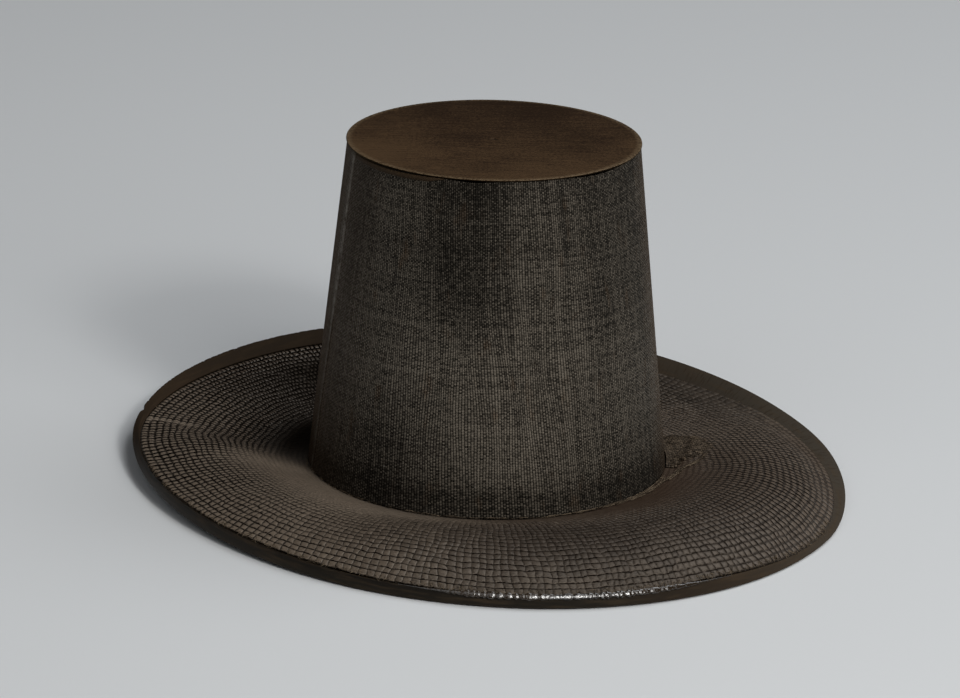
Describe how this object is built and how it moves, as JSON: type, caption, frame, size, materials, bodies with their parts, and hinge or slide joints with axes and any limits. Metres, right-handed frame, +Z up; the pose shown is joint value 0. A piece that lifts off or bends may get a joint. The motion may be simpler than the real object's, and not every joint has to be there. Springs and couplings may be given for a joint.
{
  "type": "brimmed hat of the gat type, lacquered horsehair crown on a woven bamboo brim",
  "caption": "Tall tapered flat-topped horsehair crown on a wide warped woven brim edged with a plain twisting strip, worn on the head.",
  "frame": {"origin": "centre of the bottom of the bounding box, on the surface that the hat rests on by itself", "axes": "+Z up from that surface, -Y towards the front of the hat, +X to its right side as seen from the front"},
  "size_m": [0.3204, 0.3166, 0.1597],
  "materials": {
    "horsehair_wall": "fine lacquered horsehair cloth, dark grey-brown, satin",
    "horsehair_disc": "fine lacquered cloth, worn warm brown, satin",
    "bamboo_weave": "woven lacquered split bamboo, grey-brown pads with dark lines between them",
    "edge_strip": "smooth dark brown lacquered strip, glossy in front"
  },
  "bodies": {
    "root": {"crown_wall": "horsehair_wall", "crown_top": "horsehair_disc", "brim": "bamboo_weave", "brim_rim": "edge_strip"}
  },
  "joints": []
}
